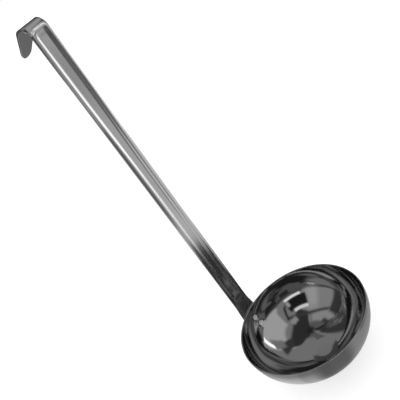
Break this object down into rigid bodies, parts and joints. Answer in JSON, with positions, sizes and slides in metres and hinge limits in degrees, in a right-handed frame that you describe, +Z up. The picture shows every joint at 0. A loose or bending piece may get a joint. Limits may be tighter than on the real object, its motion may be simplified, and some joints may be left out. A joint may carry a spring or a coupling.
{
  "type": "soup ladle",
  "caption": "Round deep-drawn steel ladle with a long flat grooved handle bent over at the top into a hanging hook.",
  "frame": {"origin": "centre of the flat on the bowl's underside, which rests on a table", "axes": "+Z up through the bowl's axis, -X towards the handle and the way its hook points, +Y to the side"},
  "size_m": [0.1263, 0.104, 0.3178],
  "materials": {
    "polished_bowl": "mirror polished stainless steel",
    "polished_strip": "lengthwise polished stainless steel",
    "weld_metal": "dull fused steel"
  },
  "bodies": {
    "root": {"bowl": "polished_bowl", "handle": "polished_strip", "spot_weld_upper": "weld_metal", "spot_weld_lower": "weld_metal"}
  },
  "joints": []
}
